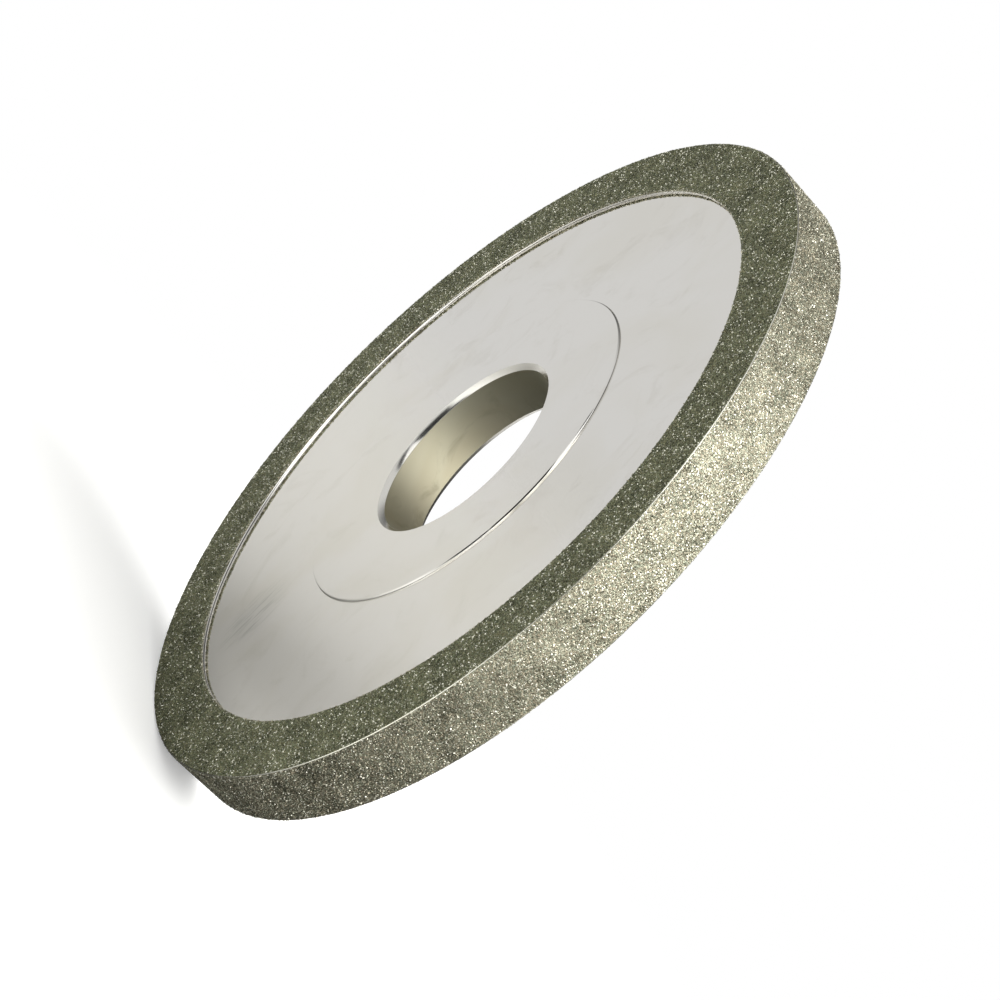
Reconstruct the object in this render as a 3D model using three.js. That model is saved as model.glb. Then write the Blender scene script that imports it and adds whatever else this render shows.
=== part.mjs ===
// A 125 mm diamond grinding wheel with a 32 mm bore: a turned steel core, a skin of bright nickel
// on its faces and in its bore, and one layer of diamond grit, held in nickel, on the rim and on
// a band of each side. The wheel turns about the Y axis, its front looks along -Y, and its centre
// is the origin. Sizes are in millimetres.
import * as THREE from "three";

// The finished wheel
const OUTER_RADIUS = 62.5;
const WIDTH = 10;
const BORE_RADIUS = 16;
const BORE_CHAMFER = 0.75;
const HUB_RADIUS = 30;
const BAND_INNER_RADIUS = 52.5;
const HUB_DROP = 0.35; // from the plane of a diamond band down to the hub land
const FACE_DROP = 0.7; // from the plane of a diamond band down to the face of the web
const RIM_EDGE = 0.2; // chamfer between a side band and the rim
const HUB_EDGE = 0.2; // chamfer around a hub land

// The layers on the core
const PLATING = 0.1; // bright nickel
const STRIKE = 0.1; // plain nickel under the diamonds
const COAT = 0.3; // diamond grit in nickel

const SEGMENTS = 96;

// Heights above the middle plane
const bandTop = WIDTH / 2;
const landTop = bandTop - HUB_DROP;
const faceTop = bandTop - FACE_DROP;
const chamferFoot = landTop - BORE_CHAMFER;
const coreLandTop = landTop - PLATING;
const coreFaceTop = faceTop - PLATING;
const strikeTop = bandTop - COAT;
const coreRimTop = strikeTop - STRIKE;

// Radii
const chamferRadius = BORE_RADIUS + BORE_CHAMFER;
const coreBore = BORE_RADIUS + PLATING;
const coreHub = HUB_RADIUS - PLATING;
const strikeInner = BAND_INNER_RADIUS + PLATING;
const strikeOuter = OUTER_RADIUS - COAT;
const coreOuter = strikeOuter - STRIKE;

// The corner that a side band shares with the rim layer lies halfway across their chamfer
const cornerRadius = OUTER_RADIUS - RIM_EDGE / 2;
const cornerHeight = bandTop - RIM_EDGE / 2;

const FRONT = -1;
const BACK = 1;

const steel = metal(0x8c8b88, 0.5, 1);
const brightNickel = metal(0xcfcbc2, 0.08, 1);
const mattNickel = metal(0xa8a496, 0.45, 1);
const diamondSide = metal(0x5d5f4c, 0.6, 0.6);
const diamondRim = metal(0x8b8975, 0.5, 0.7);

function metal(color, roughness, metalness) {
  return new THREE.MeshStandardMaterial({ color, roughness, metalness });
}

// Turns a closed outline of [radius, height] points about the Y axis. The outline runs
// anticlockwise, with the radius to the right and the height up.
function turned(name, outline, material) {
  const points = [...outline, outline[0]].map(([radius, height]) => new THREE.Vector2(radius, height));
  const mesh = new THREE.Mesh(new THREE.LatheGeometry(points, SEGMENTS), material);
  mesh.name = name;
  return mesh;
}

// An outline drawn for the back of the wheel, put on the side asked for, still anticlockwise
function onSide(side, outline) {
  if (side === BACK) return outline;
  return outline.map(([radius, height]) => [radius, -height]).reverse();
}

// A line drawn from the middle plane to the back, led on from its mirror image in the front
function bothSides(line) {
  return [...onSide(FRONT, line), ...line];
}

// A layer that wraps round the rim, between an outer and an inner line
function wrapped(name, outer, inner, material) {
  return turned(name, [...bothSides(outer), ...bothSides(inner).reverse()], material);
}

// The steel blank: bore, hub land, recessed web and raised rim land, alike on both sides
function core() {
  const rimToBore = [
    [coreOuter, coreRimTop],
    [strikeInner, coreRimTop],
    [strikeInner, coreFaceTop],
    [coreHub, coreFaceTop],
    [coreHub, coreLandTop - HUB_EDGE],
    [coreHub - HUB_EDGE, coreLandTop],
    [chamferRadius, coreLandTop],
    [coreBore, chamferFoot],
  ];
  return turned("core", bothSides(rimToBore), steel);
}

// Bright nickel down the bore and over both of its chamfers
function borePlating() {
  const coreToBore = [
    [coreBore, chamferFoot],
    [chamferRadius, coreLandTop],
    [chamferRadius, landTop],
    [BORE_RADIUS, chamferFoot],
  ];
  return turned("bore_plating", bothSides(coreToBore), brightNickel);
}

// Bright nickel on one side: from the bore's chamfer over the hub land and its step, across the
// web, and up the inner wall of the rim land as far as the diamonds
function facePlating(name, side) {
  const outline = [
    [chamferRadius, coreLandTop],
    [coreHub - HUB_EDGE, coreLandTop],
    [coreHub, coreLandTop - HUB_EDGE],
    [coreHub, coreFaceTop],
    [strikeInner, coreFaceTop],
    [strikeInner, strikeTop],
    [BAND_INNER_RADIUS, strikeTop],
    [BAND_INNER_RADIUS, faceTop],
    [HUB_RADIUS, faceTop],
    [HUB_RADIUS, landTop - HUB_EDGE],
    [HUB_RADIUS - HUB_EDGE, landTop],
    [chamferRadius, landTop],
  ];
  return turned(name, onSide(side, outline), brightNickel);
}

// Plain nickel wrapped round the rim land, which the diamonds are bonded to
function nickelStrike() {
  const outer = [
    [strikeOuter, strikeTop],
    [strikeInner, strikeTop],
  ];
  const inner = [
    [coreOuter, coreRimTop],
    [strikeInner, coreRimTop],
  ];
  return wrapped("nickel_strike", outer, inner, mattNickel);
}

// Diamond grit in nickel on one side of the wheel
function sideBand(name, side) {
  const outline = [
    [BAND_INNER_RADIUS, strikeTop],
    [strikeOuter, strikeTop],
    [cornerRadius, cornerHeight],
    [OUTER_RADIUS - RIM_EDGE, bandTop],
    [BAND_INNER_RADIUS, bandTop],
  ];
  return turned(name, onSide(side, outline), diamondSide);
}

// Diamond grit in nickel around the rim
function rimLayer() {
  const outer = [
    [OUTER_RADIUS, bandTop - RIM_EDGE],
    [cornerRadius, cornerHeight],
  ];
  const inner = [[strikeOuter, strikeTop]];
  return wrapped("rim_diamond_layer", outer, inner, diamondRim);
}

const wheel = new THREE.Group();
wheel.add(
  core(),
  borePlating(),
  facePlating("front_face_plating", FRONT),
  facePlating("back_face_plating", BACK),
  nickelStrike(),
  sideBand("front_diamond_band", FRONT),
  rimLayer(),
  sideBand("back_diamond_band", BACK),
);

export default wheel;
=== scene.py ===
"""A diamond grinding wheel: a turned blank under mirror-bright nickel, with diamond grit standing in
a nickel bond on its rim and on a band of each side. The wheel turns about the Y axis, its front
looks along -Y, and it stands on its rim on a white table. Lengths are in metres."""
import math
import random

import bmesh
import bpy
from mathutils import Matrix, Quaternion, Vector, noise


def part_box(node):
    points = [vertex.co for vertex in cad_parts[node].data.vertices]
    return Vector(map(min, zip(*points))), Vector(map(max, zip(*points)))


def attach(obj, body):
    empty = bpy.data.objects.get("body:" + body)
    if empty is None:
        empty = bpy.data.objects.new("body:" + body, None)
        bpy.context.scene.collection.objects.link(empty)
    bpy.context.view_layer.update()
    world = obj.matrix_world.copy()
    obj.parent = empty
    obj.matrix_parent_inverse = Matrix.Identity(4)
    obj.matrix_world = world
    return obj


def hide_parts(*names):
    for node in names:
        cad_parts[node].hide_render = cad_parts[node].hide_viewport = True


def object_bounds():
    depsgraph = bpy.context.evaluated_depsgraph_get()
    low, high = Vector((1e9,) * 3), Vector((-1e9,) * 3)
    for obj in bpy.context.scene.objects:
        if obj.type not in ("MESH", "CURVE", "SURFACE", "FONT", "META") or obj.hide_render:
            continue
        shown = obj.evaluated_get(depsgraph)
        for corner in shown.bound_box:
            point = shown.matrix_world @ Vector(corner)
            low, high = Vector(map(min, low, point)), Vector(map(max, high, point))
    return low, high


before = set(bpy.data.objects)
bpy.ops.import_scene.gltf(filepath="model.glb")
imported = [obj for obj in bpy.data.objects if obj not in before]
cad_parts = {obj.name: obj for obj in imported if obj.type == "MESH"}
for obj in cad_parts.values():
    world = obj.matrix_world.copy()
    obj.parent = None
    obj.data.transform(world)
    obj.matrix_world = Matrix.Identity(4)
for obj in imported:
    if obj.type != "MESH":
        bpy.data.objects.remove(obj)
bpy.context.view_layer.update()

MM = 0.001

# The wheel's section, which is the same on both sides
OUTER_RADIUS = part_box("rim_diamond_layer")[1].x
BAND_TOP = -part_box("front_diamond_band")[0].y
FACE_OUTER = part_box("front_face_plating")[1].x
PLATING = 0.1 * MM
COAT = 0.3 * MM
BORE_RADIUS = 16 * MM
BORE_CHAMFER = 0.75 * MM
HUB_RADIUS = 30 * MM
LAND_TOP = BAND_TOP - 0.35 * MM
FACE_TOP = BAND_TOP - 0.7 * MM
RIM_EDGE = 0.2 * MM
HUB_EDGE = 0.2 * MM
BAND_INNER = FACE_OUTER - PLATING
COAT_FOOT = BAND_TOP - COAT

# How finely things are turned, how far their edges are eased, and the grain of the diamond coat
SECTORS = 24
SMOOTH_STEPS = 15 * SECTORS
COAT_STEPS = 50 * SECTORS
EASE = 0.02 * MM
BORE_EASE = 0.03 * MM
COAT_CELL = 0.3 * MM
COAT_RELIEF = 0.05 * MM
RELIEF_SCALE = 4100
GRAIN = 0.17 * MM
GRAIN_SPACING = 0.32 * MM
GRAIN_SCALE = 6000
FINE_SCALE = 12000
CLOUD_SCALE = 210.0

TOUCHING = 1e-6
SAME_SPOT = 1e-7
NEAR_SURFACE = 0.02 * MM
WHEEL_AXIS = Vector((0, 1, 0))
CENTRE = Vector((0, 0, 0))
FRONT = -1
BACK = 1
TONE_LAYER = "tone"


# Mesh work

def draw_outline(points):
    """A new bmesh holding one flat face with the outline [(radius, height), ...]."""
    shape = bmesh.new()
    shape.faces.new([shape.verts.new((radius, height, 0)) for radius, height in points])
    return shape


def ease_corners(shape, width, points):
    """Rounds the outline's corners at these points."""
    wanted = [Vector((radius, height, 0)) for radius, height in points]
    corners = [v for v in shape.verts if any((v.co - point).length < TOUCHING for point in wanted)]
    bmesh.ops.bevel(shape, geom=corners, affect="VERTICES", offset=width, offset_type="OFFSET",
                    segments=3, profile=0.5, material=-1)


def repeat_sector(shape):
    """Repeats one sector of the wheel all the way round."""
    share = (SECTORS - 1) / SECTORS
    bmesh.ops.spin(shape, geom=shape.verts[:] + shape.edges[:] + shape.faces[:], cent=CENTRE,
                   axis=WHEEL_AXIS, dvec=(0, 0, 0), angle=math.tau * share, steps=SECTORS - 1,
                   use_duplicate=True)


def turn(shape, steps):
    """Spins the outline through one sector, repeats it, and joins the sectors into a closed solid."""
    bmesh.ops.delete(shape, geom=shape.faces[:], context="FACES_ONLY")
    bmesh.ops.spin(shape, geom=shape.verts[:] + shape.edges[:], cent=CENTRE, axis=WHEEL_AXIS,
                   dvec=(0, 0, 0), angle=math.tau / SECTORS, steps=steps // SECTORS, use_merge=False)
    repeat_sector(shape)
    bmesh.ops.remove_doubles(shape, verts=shape.verts[:], dist=TOUCHING)
    bmesh.ops.recalc_face_normals(shape, faces=shape.faces[:])


def face_back(shape):
    """Turns a front piece half a turn round the upright, so that it becomes the back one."""
    bmesh.ops.rotate(shape, verts=shape.verts[:], cent=CENTRE, matrix=Matrix.Rotation(math.pi, 3, "Z"))


def finish_piece(name, shape, material, nodes=(), smooth=True):
    """Makes the object, gives it its finish, and ties it to the wheel."""
    mesh = bpy.data.meshes.new(name)
    shape.to_mesh(mesh)
    shape.free()
    mesh.polygons.foreach_set("use_smooth", [smooth] * len(mesh.polygons))
    mesh.materials.append(material)
    piece = bpy.data.objects.new(name, mesh)
    bpy.context.scene.collection.objects.link(piece)
    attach(piece, "root")
    if nodes:
        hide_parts(*nodes)
    return piece


def weigh_normals(piece):
    """Keeps the wide flats flat beside their narrow rounded edges."""
    modifier = piece.modifiers.new("weighted_normals", "WEIGHTED_NORMAL")
    modifier.mode = "FACE_AREA"
    modifier.weight = 100
    modifier.keep_sharp = False


# Node work

class Nodes:
    """Adds and joins the nodes of one tree."""

    def __init__(self, tree):
        self.tree = tree

    def add(self, kind, values=None, **settings):
        node = self.tree.nodes.new(kind)
        for key, value in settings.items():
            setattr(node, key, value)
        for key, value in (values or {}).items():
            if isinstance(value, bpy.types.NodeSocket):
                self.join(value, node.inputs[key])
            else:
                node.inputs[key].default_value = value
        return node

    def join(self, source, target):
        self.tree.links.new(source, target)

    def math(self, operation, a, b, clamp=False):
        return self.add("ShaderNodeMath", {0: a, 1: b}, operation=operation, use_clamp=clamp).outputs[0]

    def scale_range(self, value, low, high, to_low=0.0, to_high=1.0, smooth=False):
        kind = "SMOOTHSTEP" if smooth else "LINEAR"
        return self.add("ShaderNodeMapRange", {"Value": value, "From Min": low, "From Max": high,
                                               "To Min": to_low, "To Max": to_high},
                        interpolation_type=kind).outputs["Result"]

    def mix(self, share, a, b, blend="MIX"):
        node = self.add("ShaderNodeMix", {0: share, 6: a, 7: b}, data_type="RGBA", blend_type=blend)
        return node.outputs[2]

    def noise(self, place, scale, detail=2.0, roughness=0.5, distortion=0.0):
        return self.add("ShaderNodeTexNoise", {"Vector": place, "Scale": scale, "Detail": detail,
                                               "Roughness": roughness, "Distortion": distortion})

    def cells(self, place, scale):
        return self.add("ShaderNodeTexVoronoi", {"Vector": place, "Scale": scale})

    def place(self):
        return self.add("ShaderNodeTexCoord").outputs["Object"]

    def length(self, vector):
        return self.add("ShaderNodeVectorMath", {0: vector}, operation="LENGTH").outputs["Value"]

    def channel(self, color, name):
        return self.add("ShaderNodeSeparateColor", {0: color}).outputs[name]

    def frame_of(self, place, centre, rotation, size):
        """The place seen from a centre, turned, and measured in these sizes."""
        return self.add("ShaderNodeMapping", {"Vector": place, "Location": centre,
                                              "Rotation": rotation, "Scale": size},
                        vector_type="TEXTURE").outputs[0]


def new_group(name, inputs, outputs):
    """A shader node group, its node helper, and its input and output nodes."""
    group = bpy.data.node_groups.new(name, "ShaderNodeTree")
    for label, (kind, value) in inputs.items():
        socket = group.interface.new_socket(label, in_out="INPUT", socket_type=kind)
        if value is not None:
            socket.default_value = value
    for label, kind in outputs.items():
        group.interface.new_socket(label, in_out="OUTPUT", socket_type=kind)
    nodes = Nodes(group)
    return group, nodes, nodes.add("NodeGroupInput"), nodes.add("NodeGroupOutput")


def new_material(name, **shader_values):
    """A material with a plain shader, its node helper and the shader node."""
    material = bpy.data.materials.new(name)
    material.use_nodes = True
    nodes = Nodes(material.node_tree)
    shader = next(n for n in material.node_tree.nodes if n.type == "BSDF_PRINCIPLED")
    for label, value in shader_values.items():
        shader.inputs[label.replace("_", " ")].default_value = value
    return material, nodes, shader


# The plating's colour drift, smudges, hairlines and waviness: how many to the metre
DRIFT_SCALE = 38.0
SMUDGE_SCALE = 95.0
HAIR_SCALE = (60, 60, 2600)
HAIR_TURN = (0, 0.7, 0)
WAVE_SCALE = 55.0


def build_plating_group():
    """Bright plating: faint colour drift, smudges, hairline scratches and a slow waviness."""
    group, nodes, given, result = new_group(
        "plating",
        {"Place": ("NodeSocketVector", None), "Tone": ("NodeSocketColor", (0.8, 0.78, 0.74, 1)),
         "Warm": ("NodeSocketColor", (0.74, 0.7, 0.62, 1)), "Polish": ("NodeSocketFloat", 0.06),
         "Smudge": ("NodeSocketFloat", 0.1)},
        {"Color": "NodeSocketColor", "Roughness": "NodeSocketFloat", "Height": "NodeSocketFloat"})
    place = given.outputs["Place"]
    drift = nodes.noise(place, DRIFT_SCALE, 3.0, 0.55, 0.6).outputs["Fac"]
    warm = nodes.scale_range(drift, 0.42, 0.66, smooth=True)
    smudges = nodes.noise(place, SMUDGE_SCALE, 5.0, 0.6, 1.4).outputs["Fac"]
    smudge = nodes.scale_range(smudges, 0.5, 0.72, smooth=True)
    stretched = nodes.add("ShaderNodeMapping", {"Vector": place, "Rotation": HAIR_TURN,
                                                "Scale": HAIR_SCALE}).outputs[0]
    hairs = nodes.noise(stretched, 1.0, 2.0, 0.5).outputs["Fac"]
    hair = nodes.scale_range(hairs, 0.68, 0.8)
    tone = nodes.mix(warm, given.outputs["Tone"], given.outputs["Warm"])
    dulled = nodes.mix(nodes.math("MULTIPLY", smudge, 0.25), tone, given.outputs["Warm"], "MULTIPLY")
    worn = nodes.math("MULTIPLY", nodes.math("MAXIMUM", smudge, hair), given.outputs["Smudge"])
    wave = nodes.noise(place, WAVE_SCALE, 1.0, 0.4).outputs["Fac"]
    height = nodes.math("ADD", nodes.math("MULTIPLY", hair, -0.02), wave)
    nodes.join(dulled, result.inputs["Color"])
    nodes.join(nodes.math("ADD", given.outputs["Polish"], worn), result.inputs["Roughness"])
    nodes.join(height, result.inputs["Height"])
    return group


# What a grain's hue multiplies its tone by, at the two ends
RUDDY = (1.10, 0.98, 0.90, 1)
GREENISH = (0.92, 1.02, 0.985, 1)


def build_grit_group():
    """Diamond grit in nickel: a cell for each grain, each with its own tone and hue, some of them
    glinting, and clouds of greener and paler coat."""
    group, nodes, given, result = new_group(
        "grit",
        {"Place": ("NodeSocketVector", None), "Own Tone": ("NodeSocketFloat", 0.5),
         "Dark": ("NodeSocketColor", (0.05, 0.05, 0.03, 1)),
         "Light": ("NodeSocketColor", (0.3, 0.3, 0.2, 1)),
         "Glint": ("NodeSocketColor", (0.9, 0.85, 0.6, 1)), "Glint Share": ("NodeSocketFloat", 0.1)},
        {"Color": "NodeSocketColor", "Roughness": "NodeSocketFloat", "Height": "NodeSocketFloat"})
    place = given.outputs["Place"]
    own = given.outputs["Own Tone"]
    grain = nodes.cells(place, GRAIN_SCALE)
    cloud = nodes.noise(place, CLOUD_SCALE, 3.0, 0.6).outputs["Fac"]
    tone = nodes.math("ADD", nodes.math("MULTIPLY", own, 0.75),
                      nodes.scale_range(cloud, 0.3, 0.7, -0.12, 0.28))
    plain = nodes.mix(nodes.math("MULTIPLY", tone, 1.0, clamp=True), given.outputs["Dark"],
                      given.outputs["Light"])
    hue = nodes.mix(nodes.channel(grain.outputs["Color"], "Green"), RUDDY, GREENISH)
    body = nodes.mix(1.0, plain, hue, "MULTIPLY")
    glint = nodes.math("GREATER_THAN", own, nodes.math("SUBTRACT", 1.0, given.outputs["Glint Share"]))
    color = nodes.mix(glint, body, given.outputs["Glint"])
    rough = nodes.math("SUBTRACT", nodes.scale_range(own, 0, 1, 0.55, 0.35),
                       nodes.math("MULTIPLY", glint, 0.15))
    fine = nodes.noise(place, FINE_SCALE, 2.0, 0.6).outputs["Fac"]
    dome = nodes.math("SUBTRACT", 1.0, grain.outputs["Distance"])
    height = nodes.math("ADD", nodes.math("MULTIPLY", fine, 0.35), dome)
    nodes.join(color, result.inputs["Color"])
    nodes.join(rough, result.inputs["Roughness"])
    nodes.join(height, result.inputs["Height"])
    return group


PLATING_GROUP = build_plating_group()
GRIT_GROUP = build_grit_group()

# The rub marks on the web: where they are, which way they run, and how far they reach
RUB_CENTRE = (-3 * MM, -FACE_TOP, -42 * MM)
RUB_TURN = (0, math.radians(-13), 0)
RUB_SIZE = (6 * MM, 2 * MM, 8 * MM)
RUB_STROKE = (0.5 * MM, 1, 4.5 * MM)
RUB_TONE = (0.46, 0.45, 0.42, 1)

# Where the bore's chamfers begin to shine, and their tone
SHINE_FROM = BORE_RADIUS + 0.01 * MM
SHINE_FULL = BORE_RADIUS + 0.05 * MM
SHINE_TONE = (0.78, 0.765, 0.72, 1)


def finish_with(nodes, shader, group, place, values, bump_strength, bump_distance):
    """Leads a group's colour, roughness and height into the shader."""
    effect = nodes.add("ShaderNodeGroup", {"Place": place, **values}, node_tree=group)
    bump = nodes.add("ShaderNodeBump", {"Strength": bump_strength, "Distance": bump_distance,
                                        "Height": effect.outputs["Height"]})
    nodes.join(effect.outputs["Color"], shader.inputs["Base Color"])
    nodes.join(effect.outputs["Roughness"], shader.inputs["Roughness"])
    nodes.join(bump.outputs["Normal"], shader.inputs["Normal"])


def make_bright_nickel():
    """Mirror plating, with a small patch of rub marks low on the web."""
    material, nodes, shader = new_material("bright_nickel", Metallic=1.0)
    place = nodes.place()
    finish_with(nodes, shader, PLATING_GROUP, place,
                {"Tone": (0.80, 0.785, 0.755, 1), "Warm": (0.77, 0.75, 0.70, 1),
                 "Polish": 0.05, "Smudge": 0.08}, 0.1, 0.2 * MM)
    color = shader.inputs["Base Color"].links[0].from_socket
    rubbed = nodes.frame_of(place, RUB_CENTRE, RUB_TURN, RUB_SIZE)
    near = nodes.scale_range(nodes.length(rubbed), 0.4, 1.1, 1.0, 0.0, smooth=True)
    strokes = nodes.frame_of(place, RUB_CENTRE, RUB_TURN, RUB_STROKE)
    stroke = nodes.scale_range(nodes.noise(strokes, 1.0, 1.0, 0.4).outputs["Fac"], 0.5, 0.64, 0.15, 0.6)
    marked = nodes.mix(nodes.math("MULTIPLY", near, stroke), color, RUB_TONE)
    nodes.join(marked, shader.inputs["Base Color"])
    return material


def make_bore_nickel():
    """Dull nickel down the bore, and bright on its chamfers."""
    material, nodes, shader = new_material("bore_nickel", Metallic=1.0)
    place = nodes.place()
    finish_with(nodes, shader, PLATING_GROUP, place,
                {"Tone": (0.30, 0.29, 0.225, 1), "Warm": (0.26, 0.24, 0.175, 1),
                 "Polish": 0.60, "Smudge": 0.10}, 0.2, 0.3 * MM)
    flat = nodes.add("ShaderNodeVectorMath", {0: place, 1: (1, 0, 1)}, operation="MULTIPLY").outputs[0]
    chamfer = nodes.scale_range(nodes.length(flat), SHINE_FROM, SHINE_FULL)
    color = shader.inputs["Base Color"].links[0].from_socket
    rough = shader.inputs["Roughness"].links[0].from_socket
    nodes.join(nodes.mix(chamfer, color, SHINE_TONE), shader.inputs["Base Color"])
    polished = nodes.math("MULTIPLY", rough, nodes.scale_range(chamfer, 0, 1, 1.0, 0.25))
    nodes.join(polished, shader.inputs["Roughness"])
    return material


def make_plating(name, tone, warm, polish, smudge, bump_strength):
    """A duller plating or bare metal."""
    material, nodes, shader = new_material(name, Metallic=1.0)
    finish_with(nodes, shader, PLATING_GROUP, nodes.place(),
                {"Tone": tone, "Warm": warm, "Polish": polish, "Smudge": smudge},
                bump_strength, 0.3 * MM)
    return material


def bond_tone(nodes):
    """A tone for each cell of the bond, from 0 to 1."""
    return nodes.channel(nodes.cells(nodes.place(), GRAIN_SCALE).outputs["Color"], "Red")


def crystal_tone(nodes):
    """The tone that each crystal was given, from 0 to 1."""
    return nodes.add("ShaderNodeAttribute", attribute_name=TONE_LAYER).outputs["Fac"]


def make_coat(name, own_tone, metallic, dark, light, glint, share):
    """Bond or crystals, with the tone of the darkest and lightest and the share that glints."""
    material, nodes, shader = new_material(name, Metallic=metallic)
    values = {"Own Tone": own_tone(nodes), "Dark": dark, "Light": light, "Glint": glint,
              "Glint Share": share}
    finish_with(nodes, shader, GRIT_GROUP, nodes.place(), values, 0.7, 0.1 * MM)
    return material


bright_nickel = make_bright_nickel()
bore_nickel = make_bore_nickel()
edge_nickel = make_plating("edge_nickel", (0.78, 0.77, 0.68, 1), (0.66, 0.64, 0.54, 1), 0.2, 0.2, 0.3)
turned_steel = make_plating("turned_steel", (0.42, 0.42, 0.41, 1), (0.34, 0.33, 0.31, 1), 0.38, 0.2, 0.4)
matt_nickel = make_plating("matt_nickel", (0.45, 0.44, 0.38, 1), (0.36, 0.35, 0.29, 1), 0.45, 0.2, 0.4)
# The bands and the rim carry one coat in two copies: the bands' darker tones are painted shade on the
# sides, which face away from the light, and the rim's paler, beige tones are painted light
shaded_band_bond = make_coat("shaded_band_bond", bond_tone, 0.8, (0.040, 0.045, 0.023, 1), (0.255, 0.265, 0.165, 1),
                      (0.80, 0.80, 0.66, 1), 0.06)
lit_rim_bond = make_coat("lit_rim_bond", bond_tone, 0.85, (0.065, 0.065, 0.045, 1), (0.50, 0.485, 0.39, 1),
                     (0.85, 0.83, 0.72, 1), 0.07)
shaded_band_crystal = make_coat("shaded_band_crystal", crystal_tone, 0.5, (0.040, 0.045, 0.022, 1),
                         (0.32, 0.33, 0.205, 1), (0.92, 0.91, 0.78, 1), 0.11)
lit_rim_crystal = make_coat("lit_rim_crystal", crystal_tone, 0.5, (0.07, 0.07, 0.048, 1),
                        (0.58, 0.56, 0.46, 1), (0.88, 0.86, 0.75, 1), 0.09)
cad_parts["core"].material_slots[0].material = turned_steel
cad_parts["nickel_strike"].material_slots[0].material = matt_nickel


# The nickel pieces

def make_face_plate(name, side, node):
    """The bright skin of one side: hub land with its step, web, and the wall under the diamonds."""
    inner = BORE_RADIUS + BORE_CHAMFER
    step = HUB_RADIUS - PLATING
    outline = [
        (inner, -(LAND_TOP - PLATING)),
        (inner, -LAND_TOP),
        (HUB_RADIUS - HUB_EDGE, -LAND_TOP),
        (HUB_RADIUS, -(LAND_TOP - HUB_EDGE)),
        (HUB_RADIUS, -FACE_TOP),
        (BAND_INNER, -FACE_TOP),
        (BAND_INNER, -COAT_FOOT),
        (FACE_OUTER, -COAT_FOOT),
        (FACE_OUTER, -(FACE_TOP - PLATING)),
        (step, -(FACE_TOP - PLATING)),
        (step, -(LAND_TOP - PLATING)),
    ]
    shape = draw_outline(outline)
    ease_corners(shape, EASE, outline[1:6])
    turn(shape, SMOOTH_STEPS)
    if side == BACK:
        face_back(shape)
    weigh_normals(finish_piece(name, shape, bright_nickel, [node]))


def make_bore_sleeve():
    """The bright skin of the bore, with a chamfer at each end."""
    inner = BORE_RADIUS + BORE_CHAMFER
    half = [
        (BORE_RADIUS, LAND_TOP - BORE_CHAMFER),
        (inner, LAND_TOP),
        (inner, LAND_TOP - PLATING),
        (BORE_RADIUS + PLATING, LAND_TOP - BORE_CHAMFER),
    ]
    outline = half + [(radius, -height) for radius, height in reversed(half)]
    shape = draw_outline(outline)
    ease_corners(shape, BORE_EASE, outline)
    turn(shape, SMOOTH_STEPS)
    weigh_normals(finish_piece("bore_sleeve", shape, bore_nickel, ["bore_plating"]))


# The strip of bare nickel on the corner chamfer: where it lies across the chamfer, how far it
# stands out of it, and how far it reaches under it
STRIP_NEAR = 0.2 * RIM_EDGE
STRIP_FAR = 0.8 * RIM_EDGE
STRIP_LIFT = 0.012 * MM
STRIP_DEPTH = 0.08 * MM


def make_corner_edge(name, side):
    """The bare bright strip where a side band meets the rim."""
    foot = OUTER_RADIUS - RIM_EDGE
    outline = [
        (foot + STRIP_NEAR + STRIP_LIFT, -(BAND_TOP - STRIP_NEAR + STRIP_LIFT)),
        (foot + STRIP_FAR + STRIP_LIFT, -(BAND_TOP - STRIP_FAR + STRIP_LIFT)),
        (foot + STRIP_FAR - STRIP_DEPTH, -(BAND_TOP - STRIP_FAR - STRIP_DEPTH)),
        (foot + STRIP_NEAR - STRIP_DEPTH, -(BAND_TOP - STRIP_NEAR - STRIP_DEPTH)),
    ]
    shape = draw_outline(outline)
    ease_corners(shape, EASE, outline[:2])
    turn(shape, SMOOTH_STEPS)
    if side == BACK:
        face_back(shape)
    weigh_normals(finish_piece(name, shape, edge_nickel))


# The diamond coat

def roughen(shape, reaches, seed):
    """Moves the coat's open surface in and out by a grain's relief."""
    shape.normal_update()
    for vertex in shape.verts:
        if reaches(vertex.co):
            lift = noise.noise(vertex.co * RELIEF_SCALE + Vector((seed, 0, 0)))
            vertex.co += vertex.normal * lift * COAT_RELIEF


def subdivide_between(shape, low, high, cell):
    """Cuts the outline's edge between two points into cells."""
    ends = [Vector((radius, height, 0)) for radius, height in (low, high)]
    for edge in shape.edges:
        if all(min((v.co - end).length for end in ends) < SAME_SPOT for v in edge.verts):
            cuts = round(edge.calc_length() / cell) - 1
            bmesh.ops.subdivide_edges(shape, edges=[edge], cuts=cuts)
            return


def make_band_coat(name, side, node):
    """The nickel bond of one side band, as rough as the grit in it."""
    foot = (BAND_INNER, -COAT_FOOT)
    low = (BAND_INNER, -BAND_TOP)
    high = (OUTER_RADIUS - RIM_EDGE, -BAND_TOP)
    corner = (OUTER_RADIUS - RIM_EDGE / 2, -(BAND_TOP - RIM_EDGE / 2))
    shape = draw_outline([foot, low, high, corner, (OUTER_RADIUS - COAT, -COAT_FOOT)])
    subdivide_between(shape, low, high, COAT_CELL)
    subdivide_between(shape, foot, low, COAT_CELL / 2)
    turn(shape, COAT_STEPS)

    def is_open(co):
        inside = math.hypot(co.x, co.z) < BAND_INNER + NEAR_SURFACE
        return co.y < -BAND_TOP + NEAR_SURFACE or inside and co.y < -COAT_FOOT - NEAR_SURFACE

    roughen(shape, is_open, 1.0 + side)
    if side == BACK:
        face_back(shape)
    finish_piece(name, shape, shaded_band_bond, [node], smooth=False)


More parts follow.
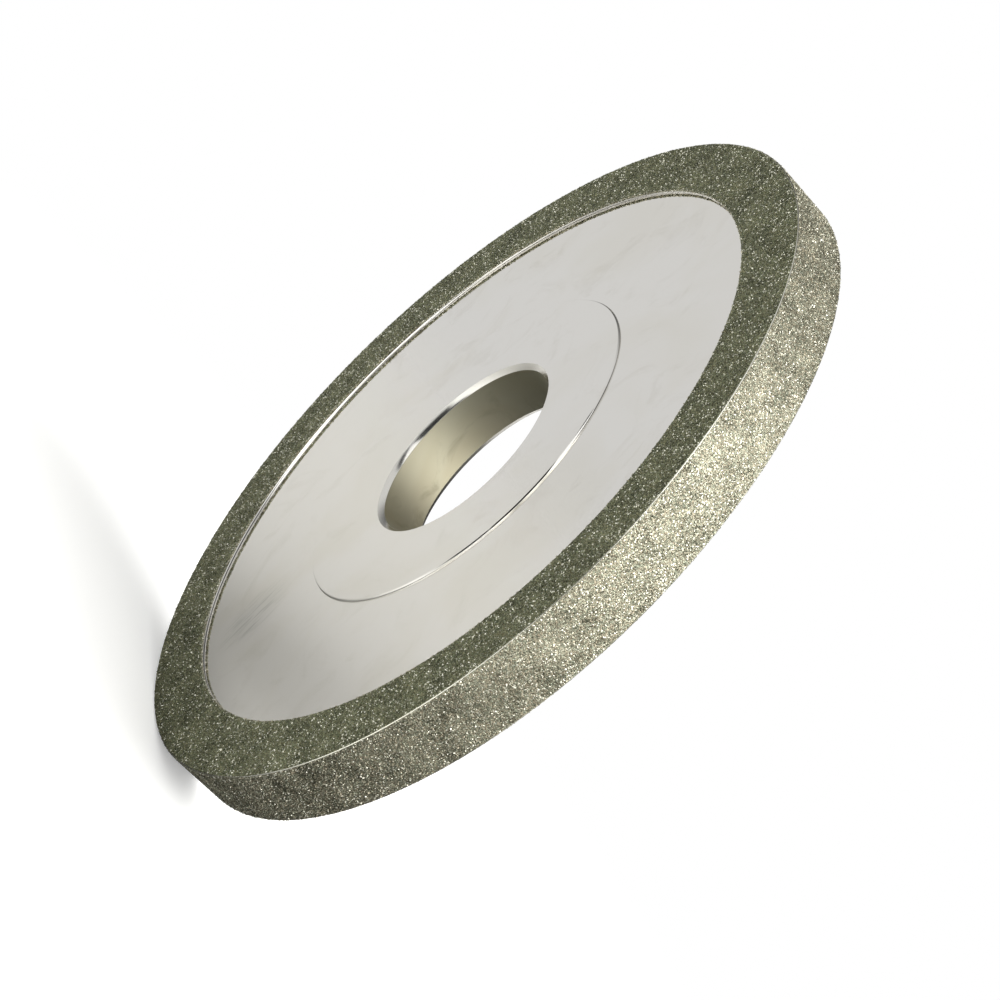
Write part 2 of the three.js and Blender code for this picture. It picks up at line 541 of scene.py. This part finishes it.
def make_rim_coat():
    """The nickel bond round the rim, as rough as the grit in it."""
    high = (OUTER_RADIUS, BAND_TOP - RIM_EDGE)
    corner = (OUTER_RADIUS - RIM_EDGE / 2, BAND_TOP - RIM_EDGE / 2)
    under = (OUTER_RADIUS - COAT, COAT_FOOT)
    half = [high, corner, under]
    outline = half + [(radius, -height) for radius, height in reversed(half)]
    shape = draw_outline(outline)
    subdivide_between(shape, high, (high[0], -high[1]), COAT_CELL)
    turn(shape, COAT_STEPS)
    roughen(shape, lambda co: math.hypot(co.x, co.z) > OUTER_RADIUS - NEAR_SURFACE, 5.0)
    finish_piece("lit_rim_bond", shape, lit_rim_bond, ["rim_diamond_layer"], smooth=False)


def random_turn(rng):
    """A turn of any size about any line."""
    axis = Vector([rng.gauss(0, 1) for _ in range(3)]).normalized()
    return Quaternion(axis, rng.uniform(0, math.pi)).to_matrix().to_4x4()


def add_grain(shape, tone, rng, place, out, darkest):
    """One blocky crystal, sunk to about its middle in the bond."""
    size = GRAIN * rng.uniform(0.75, 1.25)
    stretch = Matrix.Diagonal((rng.uniform(0.8, 1.2), rng.uniform(0.8, 1.2), rng.uniform(0.7, 1.0), 1))
    centre = place - out * GRAIN * rng.uniform(0.05, 0.3)
    made = bmesh.ops.create_cube(shape, size=size,
                                 matrix=Matrix.Translation(centre) @ random_turn(rng) @ stretch)
    own = rng.uniform(darkest, 1.0)
    for vertex in made["verts"]:
        vertex[tone] = own


def make_grit(name, rng, spots, side, material, darkest=0.0):
    """The crystals at the spots of one sector, repeated round the wheel."""
    shape = bmesh.new()
    tone = shape.verts.layers.float.new(TONE_LAYER)
    for place, out in spots:
        add_grain(shape, tone, rng, place, out, darkest)
    repeat_sector(shape)
    if side == BACK:
        face_back(shape)
    finish_piece(name, shape, material, smooth=False)


def rows_between(low, high):
    """Even steps from low to high, about a grain's spacing apart."""
    rows = round((high - low) / GRAIN_SPACING)
    return [low + (row + 0.5) * (high - low) / rows for row in range(rows)]


def angles_round(rng, radius, spacing):
    """Uneven steps through one sector at this radius."""
    sector = math.tau / SECTORS
    count = round(sector * radius / spacing)
    for index in range(count):
        yield (index + rng.uniform(0.1, 0.9)) * sector / count


def stray(rng):
    """How far a crystal lies off its row."""
    return rng.uniform(-0.4, 0.4) * GRAIN_SPACING


def outwards(angle):
    return Vector((math.cos(angle), 0, math.sin(angle)))


def band_spots(rng, low, high):
    """Places on the front band between two radii, and the way out of it."""
    for row in rows_between(low, high):
        for angle in angles_round(rng, row, GRAIN_SPACING):
            yield outwards(angle) * (row + stray(rng)) - WHEEL_AXIS * BAND_TOP, -WHEEL_AXIS


def wall_spots(rng):
    """Places on the inner wall of the front band, closer together, and the way out of it."""
    for angle in angles_round(rng, BAND_INNER, 0.7 * GRAIN_SPACING):
        height = BAND_TOP - rng.uniform(0.0, 0.7) * COAT
        yield outwards(angle) * BAND_INNER - WHEEL_AXIS * height, -outwards(angle)


def rim_spots(rng, low, high):
    """Places on the rim between two heights, and the way out of it."""
    for row in rows_between(low, high):
        for angle in angles_round(rng, OUTER_RADIUS, GRAIN_SPACING):
            out = outwards(angle)
            yield out * OUTER_RADIUS + WHEEL_AXIS * (row + stray(rng)), out


def strips(low, high, names):
    """Cuts a width of coat into named strips, one for each piece."""
    width = (high - low) / len(names)
    return [(name, low + index * width, low + (index + 1) * width) for index, name in enumerate(names)]


make_face_plate("front_plate", FRONT, "front_face_plating")
make_face_plate("back_plate", BACK, "back_face_plating")
make_bore_sleeve()
make_band_coat("front_band_bond", FRONT, "front_diamond_band")
make_band_coat("back_band_bond", BACK, "back_diamond_band")
make_rim_coat()
make_corner_edge("front_corner_edge", FRONT)
make_corner_edge("back_corner_edge", BACK)

# Seeds, one for each piece of grit
FRONT_BAND_SEED = 11
BACK_BAND_SEED = 21
RIM_SEED = 31
FRONT_WALL_SEED = 41
BACK_WALL_SEED = 42
# The wall grains take only the paler tones of the rim's paler crystals: painted light on the band's
# inner edge
WALL_DARKEST = 0.45

RIM_HIGH = BAND_TOP - RIM_EDGE
RIM_STRIPS = strips(-RIM_HIGH, RIM_HIGH, ("front", "middle", "back"))
BAND_STRIPS = strips(BAND_INNER + GRAIN, OUTER_RADIUS - RIM_EDGE, ("inner", "middle", "outer"))
for index, (strip, low, high) in enumerate(BAND_STRIPS):
    for name, side, seed in (("front", FRONT, FRONT_BAND_SEED), ("back", BACK, BACK_BAND_SEED)):
        rng = random.Random(seed + index)
        make_grit(f"{name}_band_grit_{strip}", rng, band_spots(rng, low, high), side,
                  shaded_band_crystal)
for index, (strip, low, high) in enumerate(RIM_STRIPS):
    rng = random.Random(RIM_SEED + index)
    make_grit(f"rim_grit_{strip}", rng, rim_spots(rng, low, high), FRONT, lit_rim_crystal)
for name, side, seed in (("front", FRONT, FRONT_WALL_SEED), ("back", BACK, BACK_WALL_SEED)):
    rng = random.Random(seed)
    make_grit(f"{name}_wall_grit", rng, wall_spots(rng), side, lit_rim_crystal, WALL_DARKEST)


# The table, the light and the camera

CAMERA_AZIMUTH = math.radians(66.563)
CAMERA_ELEVATION = math.radians(10.4)
CAMERA_ROLL = math.radians(50.02)
CAMERA_DISTANCE = 0.4146
CAMERA_AIM = Vector((2.39, 4.98, -1.14)) * MM
LENS = 99.75
SENSOR = 36.0


def direction(azimuth, elevation):
    """The unit vector towards a viewer at this azimuth and elevation."""
    flat = math.cos(elevation)
    return Vector((math.sin(azimuth) * flat, -math.cos(azimuth) * flat, math.sin(elevation)))


def place_camera():
    """A long lens to the right of the wheel, rolled so that the wheel leans in the picture."""
    data = bpy.data.cameras.new("camera")
    data.lens = LENS
    data.sensor_width = SENSOR
    data.clip_start = 0.01
    data.clip_end = 20
    camera = bpy.data.objects.new("camera", data)
    bpy.context.scene.collection.objects.link(camera)
    back = direction(CAMERA_AZIMUTH, CAMERA_ELEVATION)
    camera.location = CAMERA_AIM + back * CAMERA_DISTANCE
    camera.rotation_mode = "QUATERNION"
    camera.rotation_quaternion = back.to_track_quat("Z", "Y") @ Quaternion((0, 0, 1), CAMERA_ROLL)
    bpy.context.scene.camera = camera


def add_soft_light(name, towards, distance, size, power):
    """A square lamp in this direction, facing the wheel."""
    data = bpy.data.lights.new(name, "AREA")
    data.size = size
    data.energy = power
    lamp = bpy.data.objects.new(name, data)
    bpy.context.scene.collection.objects.link(lamp)
    lamp.location = towards.normalized() * distance
    lamp.rotation_mode = "QUATERNION"
    lamp.rotation_quaternion = towards.to_track_quat("Z", "Y")


# Painted shade on the table, which only the metal and the coat see: the wheel's own shadow behind it,
# and a dark strip in front: centre, turn, half sizes and tone
PAINTED_FLOOR_SHADES = [
    ((0.04, 0.06), (0, 0, 0), (0.13, 0.085), (0.015, 0.015, 0.013)),
    ((0.115, -0.215), (0, 0, math.radians(-64)), (0.155, 0.04), (0.02, 0.02, 0.02)),
]


# The table: its radius, the distances from the wheel's centre between which it fades, for the metal
# and for a viewer, and its own glow, which a viewer sees
TABLE_RADIUS = 0.7
TABLE_FADE = (0.2, 0.5)
SHADOW_FADE = (0.09, 0.19)
TABLE_GLOW = 0.34

# Its tones for a viewer, and for the metal and the coat behind, in front on the left and in front on
# the right, with the distances over which one turns into the next. Those for the metal and the coat
# are painted shade behind and on the left, where the wheel's shadow falls, and painted light on the
# right.
TABLE_TONES = ((0.86, 0.86, 0.855, 1), (0.90, 0.90, 0.895, 1))
SHADED_BEHIND_TONE = (0.56, 0.555, 0.54, 1)
SHADED_LEFT_TONE = (0.58, 0.575, 0.56, 1)
LIT_RIGHT_TONE = (0.93, 0.93, 0.92, 1)
FRONT_TO_BEHIND = (-0.02, 0.03)
LEFT_TO_RIGHT = (-0.05, 0.02)
SHADE_EDGE = (0.7, 1.2)


def make_table():
    """A white table top that fades out before it ends, with painted light and shade for the metal and
    the coat to see.
    """
    shape = bmesh.new()
    bmesh.ops.create_circle(shape, cap_ends=True, radius=TABLE_RADIUS, segments=96)
    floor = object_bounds()[0].z
    bmesh.ops.translate(shape, verts=shape.verts[:], vec=(0, 0, floor))
    mesh = bpy.data.meshes.new("table")
    shape.to_mesh(mesh)
    shape.free()

    material, nodes, shader = new_material("white_table", Roughness=0.75, Specular_IOR_Level=0.2,
                                           Emission_Color=(1, 1, 1, 1))
    place = nodes.place()
    seen = nodes.add("ShaderNodeLightPath").outputs["Is Camera Ray"]
    unseen = nodes.scale_range(seen, 0.0, 1.0, 1.0, 0.0)
    reach = nodes.length(place)
    fade = nodes.scale_range(reach, *TABLE_FADE, 1.0, 0.0, smooth=True)
    near = nodes.scale_range(reach, *SHADOW_FADE, 1.0, 0.0, smooth=True)
    tone = nodes.mix(nodes.noise(place, 260.0, 3.0).outputs["Fac"], *TABLE_TONES)
    sides = nodes.add("ShaderNodeSeparateXYZ", {0: place}).outputs
    # Painted light and shade for the metal and the coat: darker behind and on the left, brighter in
    # front on the right
    front = nodes.scale_range(sides["Y"], *FRONT_TO_BEHIND, 1.0, 0.0, smooth=True)
    right = nodes.scale_range(sides["X"], *LEFT_TO_RIGHT, smooth=True)
    mirrored = nodes.mix(front, SHADED_BEHIND_TONE, nodes.mix(right, SHADED_LEFT_TONE, LIT_RIGHT_TONE))
    # Lays the painted shade on what the metal and the coat see
    for centre, rotation, size, shade in PAINTED_FLOOR_SHADES:
        spot = nodes.length(nodes.frame_of(place, (*centre, floor), rotation, (*size, 1)))
        share = nodes.scale_range(spot, *SHADE_EDGE, 1.0, 0.0, smooth=True)
        mirrored = nodes.mix(share, mirrored, (*shade, 1))
    shown = nodes.math("MULTIPLY", fade, nodes.math("MAXIMUM", near, unseen))
    nodes.join(nodes.mix(seen, mirrored, tone), shader.inputs["Base Color"])
    nodes.join(nodes.math("MULTIPLY", seen, TABLE_GLOW), shader.inputs["Emission Strength"])
    nodes.join(shown, shader.inputs["Alpha"])
    mesh.materials.append(material)
    table = bpy.data.objects.new("table", mesh)
    bpy.context.scene.collection.objects.link(table)


STUDIO_SKY = (0.76, 0.76, 0.755, 1)
BLACK = (0.01, 0.01, 0.01)
WHITE = (2.5, 2.5, 2.4)

# The screens around the wheel: their direction, where they begin and stop fading, in degrees from
# the middle, and their tone
STUDIO_SCREENS = [
    ((0.2, 1, 0.1), 45, 85, (0.17, 0.168, 0.155)),
    ((1, 0.25, 0), 25, 75, (0.33, 0.31, 0.245)),
    ((0, 0.25, 1), 22, 48, (0.05, 0.05, 0.045)),
    ((-0.73, 0.39, 0.53), 20, 58, (0.03, 0.03, 0.027)),
    ((0.58, 0.39, 0.64), 17, 39, (6.6, 6.6, 6.5)),
    ((0.66, -0.39, 0.62), 9, 18, WHITE),
    ((0.83, -0.39, 0.34), 9, 18, WHITE),
    ((0.93, -0.39, -0.05), 9, 18, WHITE),
    ((0.33, -0.39, 0.85), 5, 10, (0.2, 0.2, 0.2)),
    ((0.39, -0.89, -0.18), 7, 11, BLACK),
    ((0.39, -0.90, 0.0), 7, 11, BLACK),
    ((0.36, -0.91, 0.155), 7, 11, BLACK),
    ((0.28, -0.89, 0.30), 7, 11, BLACK),
    ((0.193, -0.861, 0.446), 7, 11, BLACK),
    ((0.10, -0.82, 0.55), 7, 11, BLACK),
    ((0.05, -0.80, 0.55), 8, 14, (0.02, 0.02, 0.02)),
]


def build_world():
    """White to look at, and a soft studio to light and to be mirrored: pale all round, with brighter
    and darker screens."""
    world = bpy.data.worlds.new("studio")
    world.use_nodes = True
    bpy.context.scene.world = world
    nodes = Nodes(world.node_tree)
    background = world.node_tree.nodes["Background"]
    looking = nodes.add("ShaderNodeTexCoord").outputs["Generated"]

    studio = STUDIO_SKY
    for towards, near, far, tone in STUDIO_SCREENS:
        dot = nodes.add("ShaderNodeVectorMath", {0: looking, 1: Vector(towards).normalized()},
                        operation="DOT_PRODUCT").outputs["Value"]
        share = nodes.scale_range(dot, math.cos(math.radians(far)), math.cos(math.radians(near)),
                                  smooth=True)
        studio = nodes.mix(share, studio, (*tone, 1))
    seen = nodes.add("ShaderNodeLightPath").outputs["Is Camera Ray"]
    color = nodes.mix(seen, studio, (1, 1, 1, 1))
    nodes.join(color, background.inputs["Color"])


place_camera()
add_soft_light("fill", Vector((0.3, -0.9, 0.7)), 1.0, 0.5, 1.0)
make_table()
build_world()
bpy.context.scene.view_settings.view_transform = "Standard"
